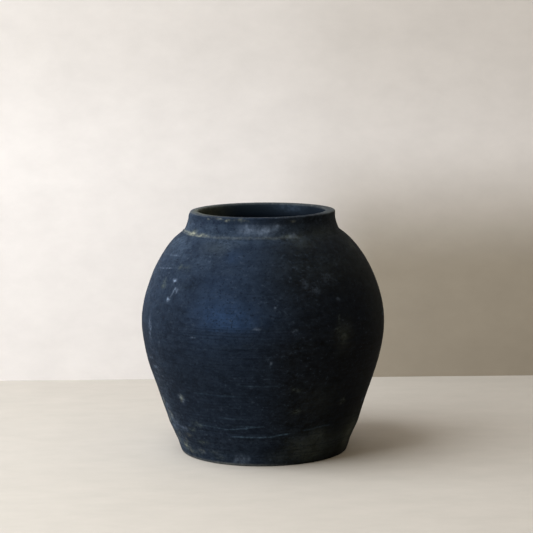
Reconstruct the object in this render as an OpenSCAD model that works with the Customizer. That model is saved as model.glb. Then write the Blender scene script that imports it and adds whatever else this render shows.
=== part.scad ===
// Black clay jar with a full belly, a short neck and a plain lip.
// The jar is built up from separate clay members: a floor slab, a scraped foot
// coil, four wall courses, a neck collar and a lip coil. Each member is luted to
// the one below it with slip in a slanting joint, and a thin coil is pressed into
// the corner between the floor and the wall.
// Millimetres, +Z up. The origin is the centre of the standing face.

/* [Foot] */
// Diameter of the standing face
base_d = 192; // [176:1:200]
// Thickness of the floor slab, whose edge shows as the foot band
slab_t = 13; // [9:0.5:18]
// Diameter of the slab at its upper edge
slab_d = 200.4; // [194:0.2:208]
// Rounding of the slab's lower edge
base_round = 1.5; // [0.5:0.1:3]
// Diameter of the shallow hollow pressed into the underside
dish_d = 140; // [80:1:160]
// Depth of that hollow
dish_h = 2; // [1:0.1:4]
// Height of the scraped foot coil
foot_h = 22; // [16:0.5:30]
// How far the foot coil flares out from the slab's edge to the ridge at its top
foot_flare = 9.8; // [6:0.2:14]
// Radius of the hollow face of the coil in the corner of the floor
fillet_r = 12; // [8:0.5:16]

/* [Walls] */
// Thickness of the wall
wall_t = 10; // [7:0.5:12]
// Height of the lower wall course
lower_h = 60; // [50:1:70]
// Diameter at the top of the lower wall course
waist_d = 260; // [250:1:268]
// Height of the belly course
belly_h = 57; // [48:1:68]
// Largest diameter, at the joint of belly and shoulder
belly_d = 280; // [272:1:300]
// How long the belly keeps the slope of the lower wall
belly_ease = 15.5; // [8:0.5:22]
// How long the belly stays upright below its joint with the shoulder
belly_full = 20; // [12:0.5:28]
// Height of the shoulder course
shoulder_h = 53; // [44:0.5:62]
// Diameter at the top of the shoulder course
shoulder_d = 255.4; // [248:0.2:264]
// Lean of the wall at the top of the shoulder course, in degrees from upright
shoulder_angle = 23; // [16:1:32]
// How long the shoulder stays upright above its joint with the belly
shoulder_full = 18; // [12:0.5:24]
// How long the shoulder keeps its lean below its own top
shoulder_ease = 19; // [12:0.5:24]
// Height of the course that closes in to the neck
closing_h = 48.5; // [42:0.5:58]
// How long the closing course keeps the lean of the shoulder
closing_ease = 23.5; // [16:0.5:28]
// How long the closing course keeps the lean of the neck joint
closing_turn = 16; // [10:0.5:20]

/* [Neck and lip] */
// How far the neck joint lies outside the lip
neck_flare = 8.6; // [5:0.1:12]
// Lean of the wall at the neck joint, in degrees from upright
neck_angle = 55; // [45:1:62]
// Height of the neck collar
neck_h = 17; // [13:0.5:22]
// How long the collar keeps the wall's lean above the neck joint
neck_ease = 5; // [3:0.5:7]
// How long the collar keeps its own lean below the lip joint
neck_rise = 9; // [4:0.5:12]
// Lean of the collar at the lip joint, in degrees from upright
collar_angle = 8; // [0:1:14]
// Diameter of the mouth
mouth_d = 146; // [134:0.5:154]
// Thickness of the lip
lip_t = 11.2; // [9:0.1:13]
// Height of the lip coil on the outside
lip_h = 7.5; // [6:0.5:10]
// How long the inside keeps the wall's lean above the neck joint
throat_ease = 9; // [5:0.5:12]
// How long the inside of the collar stays upright below the lip joint
throat_rise = 6; // [3:0.5:9]
// Rounding of the lip's outer edge
lip_round_out = 1.5; // [1:0.1:4]
// Rounding of the lip's inner edge
lip_round_in = 1.5; // [1:0.1:4.5]

/* [Joints] */
// How far a joint drops from the outside of the wall to the inside
scarf = 6; // [4.5:0.5:8]
// Thickness of the slip in a joint
slip_t = 1.2; // [0.6:0.1:2]
// Thickness of the slip in the neck joint
neck_slip_t = 2.6; // [1.5:0.1:4]
// How far the slip that was squeezed out of the neck joint stands out
bead_h = 1.2; // [0.4:0.1:2]

/* [Hidden] */
$fn = 180;

// Steps along a course's curve and along a rounding
curve_steps = 20;
round_steps = 8;

// Heights of the joints above the standing face
slab_z = slab_t;
foot_z = slab_z + foot_h;
waist_z = foot_z + lower_h;
belly_z = waist_z + belly_h;
shoulder_z = belly_z + shoulder_h;
neck_z = shoulder_z + closing_h;
lip_z = neck_z + neck_h;
top_z = lip_z + lip_h;

// Outer ends of the joints, as [radius, height]
slab_edge = [slab_d / 2, slab_z];
foot_ridge = slab_edge + [foot_flare, foot_h];
waist = [waist_d / 2, waist_z];
belly = [belly_d / 2, belly_z];
shoulder = [shoulder_d / 2, shoulder_z];
mouth_r = mouth_d / 2;
lip_r = mouth_r + lip_t;
neck = [lip_r + neck_flare, neck_z];
lip = [lip_r, lip_z];
lip_top = [lip_r, top_z];
mouth_top = [mouth_r, top_z];
mouth_bottom = [mouth_r, lip_z - scarf];

function unit(v) = v / norm(v);
function leaning(angle) = [-sin(angle), cos(angle)];
function to_inside(way) = [-way.y, way.x];
function straight(a, b) = [a, a + (b - a) / 3, b - (b - a) / 3, b];
function bezier(c, t) =
    c[0] * pow(1 - t, 3) + 3 * c[1] * pow(1 - t, 2) * t
    + 3 * c[2] * (1 - t) * t * t + c[3] * t * t * t;
function bezier_way(c, t) =
    unit((c[1] - c[0]) * pow(1 - t, 2) + 2 * (c[2] - c[1]) * (1 - t) * t
         + (c[3] - c[2]) * t * t);
function turn(from, to) = (to - from + 540) % 360 - 180;
function angle_of(v) = atan2(v.y, v.x);

// Points that round a corner, from the side that leaves it along a to the side along b
function rounded(corner, a, b, r) =
    let (half = acos(a * b) / 2,
         centre = corner + unit(a + b) * r / sin(half),
         from = angle_of(corner + a * r / tan(half) - centre),
         sweep = turn(from, angle_of(corner + b * r / tan(half) - centre)))
    [for (i = [0 : round_steps]) let (at = from + sweep * i / round_steps)
        centre + r * [cos(at), sin(at)]];

// The members above the slab, and the outside of each from joint to joint
FOOT = 0;
LOWER = 1;
BELLY = 2;
SHOULDER = 3;
CLOSING = 4;
NECK = 5;
LIP = 6;
foot_way = unit(foot_ridge - slab_edge);
outside_curves = [
    straight(slab_edge, foot_ridge),
    straight(foot_ridge, waist),
    [waist, waist + belly_ease * unit(waist - foot_ridge),
     belly - [0, belly_full], belly],
    [belly, belly + [0, shoulder_full],
     shoulder - shoulder_ease * leaning(shoulder_angle), shoulder],
    [shoulder, shoulder + closing_ease * leaning(shoulder_angle),
     neck - closing_turn * leaning(neck_angle), neck],
    [neck, neck + neck_ease * leaning(neck_angle),
     lip - neck_rise * leaning(collar_angle), lip],
    straight(lip, lip_top),
];
function outside(k, t) = bezier(outside_curves[k], t);
function wall_inside(k, t) =
    outside(k, t) + wall_t * to_inside(bezier_way(outside_curves[k], t));

// The inside follows the outside up to the neck joint, then closes in to the mouth
neck_inside = wall_inside(CLOSING, 1);
throat_curve = [neck_inside, neck_inside + throat_ease * leaning(neck_angle),
                mouth_bottom - [0, throat_rise], mouth_bottom];
function inside(k, t) = k == NECK ? bezier(throat_curve, t) : wall_inside(k, t);

// The share of a course's curve that a length takes up at its start or its end
function start_share(k, d) = d / 3 / norm(outside_curves[k][1] - outside_curves[k][0]);
function end_share(k, d) = d / 3 / norm(outside_curves[k][3] - outside_curves[k][2]);

// The joint on top of course k: its outer and inner end, below and above the slip
function slip_of(k) = k == CLOSING ? neck_slip_t : slip_t;
function joint_out(k) = outside(k, 1);
function joint_in_share(k) = k == NECK ? 1 : 1 - end_share(k, scarf);
function joint_in(k) = inside(k, joint_in_share(k));
function slip_out_share(k) = start_share(k + 1, slip_of(k));
function slip_out(k) = outside(k + 1, slip_out_share(k));
function slip_in(k) =
    k == NECK ? mouth_bottom + [0, slip_t]
              : inside(k, joint_in_share(k) + end_share(k, slip_of(k)));

// The inside of the foot coil, where it crosses a height
function foot_inside(z) =
    let (start = wall_inside(FOOT, 0))
    start + foot_way * (z - start.y) / foot_way.y;

module ring(outline) {
    rotate_extrude() polygon(outline);
}

// One wall course, from the slip below it to the joint on top of it
module course(k, steps) {
    first = slip_out_share(k - 1);
    last = joint_in_share(k);
    ring(concat(
        [for (i = [0 : steps]) outside(k, first + (1 - first) * i / steps)],
        [for (i = [steps : -1 : 0]) inside(k, last * i / steps)],
        [slip_in(k - 1)]));
}

// The slip in the joint on top of course k, with a bead that stands out of it
module slip_seam(k, bead) {
    low = joint_out(k);
    high = slip_out(k);
    out = -to_inside(unit(high - low));
    swelling = [for (i = [1 : round_steps - 1]) let (at = 180 * i / round_steps)
        (low + high) / 2 - (high - low) / 2 * cos(at) + out * bead * sin(at)];
    ring(concat([low], bead > 0 ? swelling : [], [high, slip_in(k), joint_in(k)]));
}

module base_slab() {
    base_edge = [base_d / 2, 0];
    dish_r = dish_d / 2;
    hollow_r = (dish_r * dish_r + dish_h * dish_h) / (2 * dish_h);
    reach = asin(dish_r / hollow_r);
    hollow = [for (i = [0 : round_steps]) let (at = reach * i / round_steps)
        [hollow_r * sin(at), dish_h - hollow_r + hollow_r * cos(at)]];
    color("#1d1f22") ring(concat(
        hollow,
        rounded(base_edge, [-1, 0], unit(slab_edge - base_edge), base_round),
        [slab_edge, [0, slab_z]]));
}

module base_slip_seam() {
    color("#33373b") ring([
        slab_edge,
        outside(FOOT, slip_t / foot_h),
        foot_inside(slab_z + slip_t),
        foot_inside(slab_z)]);
}

module floor_fillet_coil() {
    corner = foot_inside(slab_z);
    color("#17191b") ring(concat(
        [corner],
        rounded(corner, [-1, 0], foot_way, fillet_r)));
}

module foot_coil() {
    color("#22262b") ring([
        outside(FOOT, slip_t / foot_h),
        joint_out(FOOT),
        joint_in(FOOT),
        foot_inside(slab_z + slip_t)]);
}

module foot_slip_seam() {
    color("#3a4046") slip_seam(FOOT, 0);
}

module lower_wall() {
    color("#20252c") course(LOWER, 1);
}

module waist_slip_seam() {
    color("#262c34") slip_seam(LOWER, 0);
}

module belly_wall() {
    color("#242b35") course(BELLY, curve_steps);
}

module belly_slip_seam() {
    color("#1f2329") slip_seam(BELLY, 0);
}

module shoulder_wall() {
    color("#2b3541") course(SHOULDER, curve_steps);
}

module shoulder_slip_seam() {
    color("#2d3640") slip_seam(SHOULDER, 0);
}

module closing_wall() {
    color("#2f3946") course(CLOSING, curve_steps);
}

module neck_slip_seam() {
    color("#6b6d6a") slip_seam(CLOSING, bead_h);
}

module neck_collar() {
    color("#363f49") course(NECK, curve_steps);
}

module lip_slip_seam() {
    color("#3c434a") slip_seam(NECK, 0);
}

module lip_coil() {
    down = [0, -1];
    color("#444b52") ring(concat(
        [slip_out(NECK)],
        rounded(lip_top, down, [-1, 0], lip_round_out),
        rounded(mouth_top, [1, 0], down, lip_round_in),
        [slip_in(NECK)]));
}

base_slab();
base_slip_seam();
floor_fillet_coil();
foot_coil();
foot_slip_seam();
lower_wall();
waist_slip_seam();
belly_wall();
belly_slip_seam();
shoulder_wall();
shoulder_slip_seam();
closing_wall();
neck_slip_seam();
neck_collar();
lip_slip_seam();
lip_coil();
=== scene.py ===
# %% [markdown]
# # A smoke-fired black clay jar
# The jar is built by hand. A floor slab, coils and wall courses are luted to each other with slip,
# scraped and wiped on a slow turntable, and fired in smoke until the clay is blue-black to the core.
# The frame holds every one of those members at its true size, as smooth bodies of revolution.
# What it leaves out is the hand: walls that aren't quite round, wiping lines, dents, chalk and earth.
# This lesson reads each member's outline from the frame and turns a finer mesh from it,
# so that the sizes stay the frame's own and only the surface is new.

import math

import bmesh
import bpy
import numpy as np
from mathutils import Matrix, Vector


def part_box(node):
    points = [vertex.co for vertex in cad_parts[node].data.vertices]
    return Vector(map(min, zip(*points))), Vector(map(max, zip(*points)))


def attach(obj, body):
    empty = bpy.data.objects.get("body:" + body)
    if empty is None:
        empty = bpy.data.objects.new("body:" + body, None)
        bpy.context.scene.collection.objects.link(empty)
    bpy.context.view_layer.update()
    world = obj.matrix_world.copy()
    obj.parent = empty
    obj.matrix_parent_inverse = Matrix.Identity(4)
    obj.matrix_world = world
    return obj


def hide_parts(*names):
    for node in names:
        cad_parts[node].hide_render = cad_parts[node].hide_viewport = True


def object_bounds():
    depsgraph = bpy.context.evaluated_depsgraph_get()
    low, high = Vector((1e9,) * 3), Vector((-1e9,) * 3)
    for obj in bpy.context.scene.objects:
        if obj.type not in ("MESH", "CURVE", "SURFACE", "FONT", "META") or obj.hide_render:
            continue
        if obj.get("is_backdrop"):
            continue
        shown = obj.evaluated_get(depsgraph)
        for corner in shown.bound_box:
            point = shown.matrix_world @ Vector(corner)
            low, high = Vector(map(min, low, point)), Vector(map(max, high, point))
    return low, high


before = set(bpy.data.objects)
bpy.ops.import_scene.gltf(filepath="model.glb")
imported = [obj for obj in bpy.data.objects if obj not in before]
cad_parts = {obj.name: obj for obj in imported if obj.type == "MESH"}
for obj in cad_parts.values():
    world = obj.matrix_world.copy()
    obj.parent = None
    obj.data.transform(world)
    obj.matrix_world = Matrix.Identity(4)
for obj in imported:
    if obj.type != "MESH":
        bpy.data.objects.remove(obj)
cad_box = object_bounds()
MM = 0.001
jar_height = cad_box[1].z / MM
print(f"{len(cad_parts)} members, {jar_height:.1f} mm tall")

# %% [markdown]
# ## Reading an outline
# A turned body is fully described by the line that its surface draws in a half plane through the axis.
# The profile could be typed in again here, but then two files would hold the same sizes.
# Cutting the frame's own mesh with two planes gives the line itself: the first cut halves the ring,
# the second leaves a loop of edges where y is zero, and walking that loop puts the points in order.

# %% Cut each member to its outline
SAME_POINT = 1e-6
IDLE = 0.002


def section_of(node):
    """The member's outline for x > 0 and y = 0: rows of radius and height in mm, counter-clockwise."""
    cut = bmesh.new()
    cut.from_mesh(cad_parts[node].data)
    bmesh.ops.remove_doubles(cut, verts=cut.verts, dist=SAME_POINT)
    for normal in ((1, 0, 0), (0, 1, 0)):
        whole = cut.verts[:] + cut.edges[:] + cut.faces[:]
        sliced = bmesh.ops.bisect_plane(cut, geom=whole, dist=SAME_POINT, plane_no=normal, clear_inner=True)
    beside = {}
    for edge in sliced["geom_cut"]:
        if isinstance(edge, bmesh.types.BMEdge):
            for vert in edge.verts:
                beside.setdefault(vert, []).append(edge.other_vert(vert))
    ends = [vert for vert, others in beside.items() if len(others) == 1]
    walk = [ends[0] if ends else next(iter(beside))]
    step = beside[walk[0]][0]
    while step and step != walk[0]:
        onward = [vert for vert in beside[step] if vert != walk[-1]]
        walk.append(step)
        step = onward[0] if onward else None
    outline = np.array([(vert.co.x, vert.co.z) for vert in walk]) / MM
    cut.free()
    ahead = np.roll(outline, -1, axis=0)
    if np.sum(outline[:, 0] * ahead[:, 1] - ahead[:, 0] * outline[:, 1]) < 0:
        outline = outline[::-1]
    return without_idle_points(outline)


def without_idle_points(outline):
    """The same outline without the points that lie on the line between their neighbours."""
    kept = [outline[0]]
    for here, ahead in zip(outline[1:], np.roll(outline, -1, axis=0)[1:]):
        span = ahead - kept[-1]
        off = span[0] * (here - kept[-1])[1] - span[1] * (here - kept[-1])[0]
        if abs(off) > IDLE * math.hypot(*span):
            kept.append(here)
    return np.array(kept)


sections = {node: section_of(node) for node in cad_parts}
for node, outline in sections.items():
    print(f"{node}: {len(outline)} outline points, radius up to {outline[:, 0].max():.1f} mm")

# %% [markdown]
# ## Knowing how deep a point lies
# Wiping lines belong on the outside, finger ripples on the inside, and a joint face runs from one to
# the other. If every member worked out its own bumps, neighbours would part at their joints.
# So one rule serves the whole jar: a point's depth is 0 on the outer skin and 1 on the inner one,
# found from the largest and smallest radius that any member has at that height.

# %% Find the outer and inner skin
LEVEL_STEP = 0.25
levels = np.arange(0.0, jar_height + 0.01, LEVEL_STEP)
outer_skin = np.zeros(len(levels))
inner_skin = np.full(len(levels), 1e6)
for outline in sections.values():
    for low, high in zip(outline, np.roll(outline, -1, axis=0)):
        low, high = sorted((low, high), key=lambda point: point[1])
        if high[1] - low[1] < IDLE:
            continue
        crossed = (levels >= low[1] - IDLE) & (levels <= high[1] + IDLE)
        radius = np.interp(levels[crossed], (low[1], high[1]), (low[0], high[0]))
        outer_skin[crossed] = np.maximum(outer_skin[crossed], radius)
        inner_skin[crossed] = np.minimum(inner_skin[crossed], radius)


def depth_of(radius, height):
    """How deep points lie in the wall, from 0 on the outer skin to 1 on the inner one."""
    outside = np.interp(height, levels, outer_skin)
    inside = np.interp(height, levels, inner_skin)
    return np.clip((outside - radius) / np.maximum(outside - inside, IDLE), 0, 1)


print(f"widest {2 * outer_skin.max():.1f} mm at {levels[outer_skin.argmax()]:.0f} mm up")

# %% [markdown]
# ## A rounder, finer outline
# The frame's outline has only as many points as its curves need. For a surface that carries fine lines
# we want a point every 0.8 mm outside, and fewer inside, where nothing so fine shows.
# A subdivision modifier would shrink the jar a little. Cubic curves through the points
# keep every one of them, and sharp corners are kept by ending one curve there and starting the next.

# %% Follow an outline at any spacing
CORNER = 25.0
SKIN_STEP = 0.8
DEEP_STEP = 2.6
TRACE_STEP = 0.1


def corners_of(outline):
    """The places in the outline where it turns by more than CORNER degrees."""
    back = outline - np.roll(outline, 1, axis=0)
    ahead = np.roll(outline, -1, axis=0) - outline
    turn = np.arctan2(ahead[:, 1], ahead[:, 0]) - np.arctan2(back[:, 1], back[:, 0])
    turn = (turn + math.pi) % (2 * math.pi) - math.pi
    return np.flatnonzero(np.abs(np.degrees(turn)) > CORNER)


def spaced(run):
    """Points along a smooth curve through the run, closest together on the outer skin."""
    along = np.concatenate(([0], np.cumsum(np.hypot(*np.diff(run, axis=0).T))))
    slope = np.gradient(run, along, axis=0, edge_order=min(2, len(run) - 1))
    places = np.linspace(0, along[-1], max(3, int(along[-1] / TRACE_STEP)))
    part = np.clip(np.searchsorted(along, places) - 1, 0, len(run) - 2)
    length = np.diff(along)[part]
    t = (places - along[part]) / length
    start, end = (1 + 2 * t) * (1 - t) ** 2, t**2 * (3 - 2 * t)
    leave, arrive = t * (1 - t) ** 2 * length, t**2 * (t - 1) * length
    traced = start[:, None] * run[part] + end[:, None] * run[part + 1]
    traced += leave[:, None] * slope[part] + arrive[:, None] * slope[part + 1]
    traced = np.clip(traced, run.min(axis=0), run.max(axis=0))
    step = np.interp(depth_of(*traced.T), (0, 0.1, 1), (SKIN_STEP, 1.4 * SKIN_STEP, DEEP_STEP))
    count = np.concatenate(([0], np.cumsum(np.diff(places) / step[1:])))
    picks = np.linspace(0, count[-1], max(2, math.ceil(count[-1]) + 1))
    return np.column_stack([np.interp(picks, count, traced[:, axis]) for axis in (0, 1)])


def fine_outline(outline):
    """The outline at its fine spacing, and for each point whether it is a corner."""
    corners = corners_of(outline)
    on_axis = [place for place in corners if outline[place, 0] < IDLE]
    start = min(on_axis, key=lambda place: outline[place, 1]) if on_axis else corners[0]
    stops = np.append(np.sort((corners - start) % len(outline)), len(outline))
    loop = np.roll(outline, -start, axis=0)
    loop = np.vstack((loop, loop[:1]))
    runs = [loop[first:last + 1] for first, last in zip(stops, stops[1:])]
    if on_axis:
        runs.pop()
    fresh = [spaced(run) for run in runs]
    points = [run[:-1] for run in fresh]
    sharp = [np.arange(len(run) - 1) == 0 for run in fresh]
    if on_axis:
        points.append(fresh[-1][-1:])
        sharp.append(np.array([True]))
    return np.vstack(points), np.concatenate(sharp)


for node in ("belly_wall", "lip_coil"):
    print(f"{node}: {len(fine_outline(sections[node])[0])} fine points")

# %% [markdown]
# ## Random, but the same each time
# A hand leaves no perfect repeat, yet a script has to give the same jar on each run.
# A grid of seeded random numbers wrapped round the jar does both: `around` patches make a full turn,
# each `tall` millimetres high, and a smooth blend between the grid's values fills the space between.

# %% Noise that closes on itself round the jar
def ring_noise(turn, height, around, tall, seed):
    """Smooth random values from -1 to 1, with `around` patches to a turn, each `tall` mm high."""
    rows = int(jar_height / tall) + 5
    grid = np.random.default_rng(seed).uniform(-1, 1, (rows, around))
    across = (turn / (2 * math.pi) % 1) * around
    up = np.clip(height / tall + 2, 0, rows - 2)
    col, row = np.floor(across).astype(int) % around, np.floor(up).astype(int)
    u, v = across % 1, up % 1
    u, v = u * u * (3 - 2 * u), v * v * (3 - 2 * v)
    here = grid[row, col] * (1 - u) + grid[row, (col + 1) % around] * u
    above = grid[row + 1, col] * (1 - u) + grid[row + 1, (col + 1) % around] * u
    return here * (1 - v) + above * v


def ease(value, start, end):
    """0 below start, 1 above end, and a smooth rise between them."""
    t = np.clip((value - start) / (end - start), 0, 1)
    return t * t * (3 - 2 * t)


def apart(turn, angle):
    """The angle in radians from a place given in degrees, the short way round."""
    return (turn - math.radians(angle) + math.pi) % (2 * math.pi) - math.pi


def side(turn, angle, near, far):
    """1 within `near` degrees of an angle, 0 beyond `far` degrees, and a smooth fall between them."""
    return 1 - ease(np.abs(np.degrees(apart(turn, angle))), near, far)


print("one sample:", round(float(ring_noise(np.array(0.3), np.array(50.0), 12, 6.0, 1)), 3))

# %% [markdown]
# ## Walls that aren't quite round
# All sizes here are in millimetres. Angles are counted in degrees from the viewer's side, positive to the
# right, and heights from the standing face.
# A hand-built wall is slightly oval, swells over each coil and keeps the dents of the hand that held it.
# A displace modifier could push the surface about, but the faces of a joint would then part.
# So each point is shifted by a rule that knows only its angle and its height. The shifts are fractions of
# a millimetre, and at the widest place they only go inwards, so the jar keeps its measured size.

# %% The slow shapes
OVAL = 0.35
SWELL = 0.28
HAND_DENT = 0.13
DENT_COUNT = 46
DENT_RADIUS = 120.0
BELLY_SPARE = 0.1


def dents():
    """Shallow dents all over the wall: angle, height, half width and depth."""
    draw = np.random.default_rng(22)
    for _ in range(DENT_COUNT):
        yield draw.uniform(-180, 180), draw.uniform(40, 240), draw.uniform(9, 22), draw.uniform(0.1, 0.35)


DENTS = tuple(dents())


def out_of_round(turn, height):
    """The oval, the coils' swells and the hand's dents, in mm outwards."""
    shift = -OVAL * (1 + np.cos(2 * turn))
    shift += SWELL * ring_noise(turn, height, 5, 26.0, 11)
    shift += HAND_DENT * ring_noise(turn, height, 16, 15.0, 12)
    for angle, level, size, depth in DENTS:
        across = apart(turn, angle) * DENT_RADIUS / size
        up = (height - level) / (0.7 * size)
        shift -= depth * np.exp(-(across**2) - up**2)
    return shift


print(f"{len(DENTS)} dents, {2 * OVAL} mm of oval")

# %% [markdown]
# ## Lines from the cloth and the scraper
# A wet cloth held against the turning jar leaves long shallow lines, and a grit under it a deeper one.
# On the foot the scraper also threw up small burrs. Bump alone would draw them, but not in the outline,
# so the deeper ones are real grooves: each has a place, a reach round the jar, a depth and a width.
# Those on the viewer's side are placed as on the real jar, and seeded random ones go on round the back.

# %% Grooves and burrs
WIPE_LINE = 0.06
FINE_LINE = 0.035
GROOVE_COUNT = 110
LINES_WEAKEN = (150, 175)
SEEN_GROOVES = (
    # angle, height, reach in degrees, depth, half width, rise per degree
    (-8, 160.2, 44, 0.34, 0.75, -0.008),
    (-2, 157.4, 38, 0.22, 0.60, 0.006),
    (-16, 153.6, 40, 0.22, 0.60, 0.010),
    (-8, 139.2, 50, 0.34, 0.80, 0.002),
    (8, 118.0, 52, 0.20, 0.60, 0.000),
    (-40, 218.0, 30, 0.16, 0.50, 0.010),
    (-10, 101.0, 60, 0.20, 0.60, 0.006),
    (-20, 86.4, 46, 0.22, 0.60, 0.000),
    (14, 76.0, 50, 0.20, 0.60, -0.004),
    (-6, 40.0, 75, 0.30, 0.80, 0.012),
    (10, 47.5, 48, 0.24, 0.70, -0.010),
)
SEEN_BURRS = (
    (-3, 37.4, 20, -0.32, 0.70, 0.080),
    (-12, 47.0, 16, -0.28, 0.65, 0.160),
    (31, 43.4, 16, -0.24, 0.65, 0.120),
)


def unseen_grooves():
    """Shallower grooves all the way round."""
    draw = np.random.default_rng(21)
    for _ in range(GROOVE_COUNT):
        place = draw.uniform(-180, 180), draw.uniform(20, 248), draw.uniform(18, 75)
        yield *place, draw.uniform(0.05, 0.17), draw.uniform(0.5, 0.8), draw.uniform(-0.02, 0.02)


GROOVES = (*SEEN_GROOVES, *SEEN_BURRS, *unseen_grooves())


def cloth_lines(turn, height):
    """The wiping lines, grooves and burrs, in mm outwards."""
    wiped = 1 - 0.5 * ease(height, *LINES_WEAKEN)
    shift = wiped * WIPE_LINE * ring_noise(turn, height, 7, 2.4, 13)
    shift += wiped * FINE_LINE * ring_noise(turn, height, 12, 1.6, 14)
    for angle, level, reach, depth, half, rise in GROOVES:
        off = np.degrees(apart(turn, angle))
        window = ease(1 - np.abs(off) / reach, 0, 0.5)
        shift -= depth * window * np.exp(-(((height - level - rise * off) / half) ** 2))
    return shift


print(f"{len(GROOVES)} grooves and burrs")

# %% [markdown]
# ## Neck, foot and lip
# The neck was luted on last. A thumb wiped its bead of slip into a hollow curve nearly all the way round;
# on the left the bead still stands, in small lumps. The collar sits a little to the left too.
# The bevel of the foot keeps the scraper's facets, and the lip's edge is worn round on the left.
# The inside shows the fingers that pressed the coils together. All shifts meet in one function, which
# blends from the outer skin's shift to the inner one's through the wall, so that joints stay closed.

# %% Wipe the bead at the neck
BEAD_STAYS = 0.6
neck_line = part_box("neck_slip_seam")[1].z / MM
bead_top = neck_line + 0.1
joint_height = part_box("closing_wall")[1].z / MM
collar_foot = max(sections["neck_collar"], key=lambda point: point[0])
wiped_heights = (joint_height, collar_foot[1], bead_top)
wiped_radii = (np.interp(joint_height, levels, outer_skin), collar_foot[0],
               np.interp(bead_top, levels, outer_skin))


def wiped_bead(turn, radius, height):
    """How much slip the thumb took off the bead at the neck's root, in mm, the least of it on the left."""
    in_bead = (height > joint_height) & (height < bead_top)
    proud = np.maximum(radius - np.interp(height, wiped_heights, wiped_radii), 0)
    return np.where(in_bead, proud, 0) * (1 - BEAD_STAYS * side(turn, -68, 10, 45))


print(f"the neck's slip line is {neck_line:.1f} mm up")

# %% Shift the outer skin
LUMP, LUMPS_REACH = 0.35, 4.5
SHOULDER_FALL = 0.4
FALL_BEGINS, FALL_ENDS = (145, 175), (256, 263)
NECK_FALL, NECK_FALL_BELOW, NECK_FALL_REACH = 0.5, 3, 5
FACET = 0.16
BEVEL_BEGINS, BEVEL_ENDS = (10, 15), (33, 37)
LIP_WEAR, LIP_WEAR_REACH = 1.8, 8


def outer_shift(turn, height):
    """How far the outer skin moves outwards, in mm, without leaving the frame's box."""
    luted = np.exp(-(((height - neck_line) / LUMPS_REACH) ** 2))
    fallen = SHOULDER_FALL * ease(height, *FALL_BEGINS) * (1 - ease(height, *FALL_ENDS))
    hollow = (height - neck_line + NECK_FALL_BELOW) / NECK_FALL_REACH
    fallen = fallen + NECK_FALL * np.exp(-(hollow**2))
    scraped = ease(height, *BEVEL_BEGINS) * (1 - ease(height, *BEVEL_ENDS))
    shift = out_of_round(turn, height) + cloth_lines(turn, height)
    shift += luted * LUMP * (ring_noise(turn, height, 64, 3.2, 16) - 0.3)
    shift -= fallen
    shift += scraped * FACET * ring_noise(turn + height / 60, height, 44, 9.0, 15)
    room = outer_skin.max() - BELLY_SPARE - np.interp(height, levels, outer_skin)
    worn = side(turn, -90, 20, 60) * ease(height, jar_height - LIP_WEAR_REACH, jar_height) ** 2
    return np.minimum(shift, room) - LIP_WEAR * worn


front_shift = outer_shift(np.zeros(len(levels)), levels)
print(f"at the front the skin moves by {front_shift.min():.2f} to {front_shift.max():.2f} mm")

# %% Put every point where the hand put it
FINGER_RIPPLE = 0.55
FINGER_DENT = 0.25
FLOOR_KEPT = (0.0, 6.0)
LIP_TILT = 0.1
LIP_WAVE = 0.06
LIP_DROPS = (16, 2)  # mm below the top
LEAN = (
    # height, reach up and down, mm to the right
    (188.0, 18.0, 0.35),
    (250.0, 14.0, -0.60),
)


def hand_made(turn, radius, height):
    """The points of a member where the hand put them: x, y and z in mm."""
    deep = depth_of(radius, height)
    inner = FINGER_RIPPLE * ring_noise(turn, height, 4, 11.0, 31)
    inner += FINGER_DENT * ring_noise(turn, height, 22, 9.0, 32)
    shift = (1 - deep) * outer_shift(turn, height) + deep * inner * ease(radius, 5, 40)
    near_floor = ease(height, *FLOOR_KEPT)
    moved = radius + shift * near_floor * ease(radius, 2, 30) - wiped_bead(turn, radius, height)
    x, y = moved * np.sin(turn), -moved * np.cos(turn)
    for level, reach, sideways in LEAN:
        x = x + near_floor * sideways * np.exp(-(((height - level) / reach) ** 2) / 2)
    near_top = ease(height, *(jar_height - below for below in LIP_DROPS))
    drop = LIP_TILT * (1 + np.sin(turn)) / 2 + LIP_WAVE * (1 + ring_noise(turn, height * 0, 9, 8.0, 17))
    return x, y, height - near_top * drop


print(f"the lip's top drops by up to {LIP_TILT + 2 * LIP_WAVE:.2f} mm")

# %% [markdown]
# ## Turning a member
# The spin operator or a screw modifier would turn the outline too, but both make perfect circles.
# Here the outline becomes a grid, rows along it and columns round the jar, each point is sent through
# the hand's shift, and the grid is closed on itself both ways. The floor slab reaches the axis,
# so its grid ends in a single point there instead. Corner rows are marked sharp and the rest is smooth.
# Each mesh also gets a flat map of its surface, so that the finish can later be baked to a picture.

# %% Lay a turned surface flat
SEGMENTS = 640
columns = np.linspace(-math.pi, math.pi, SEGMENTS, endpoint=False)


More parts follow.
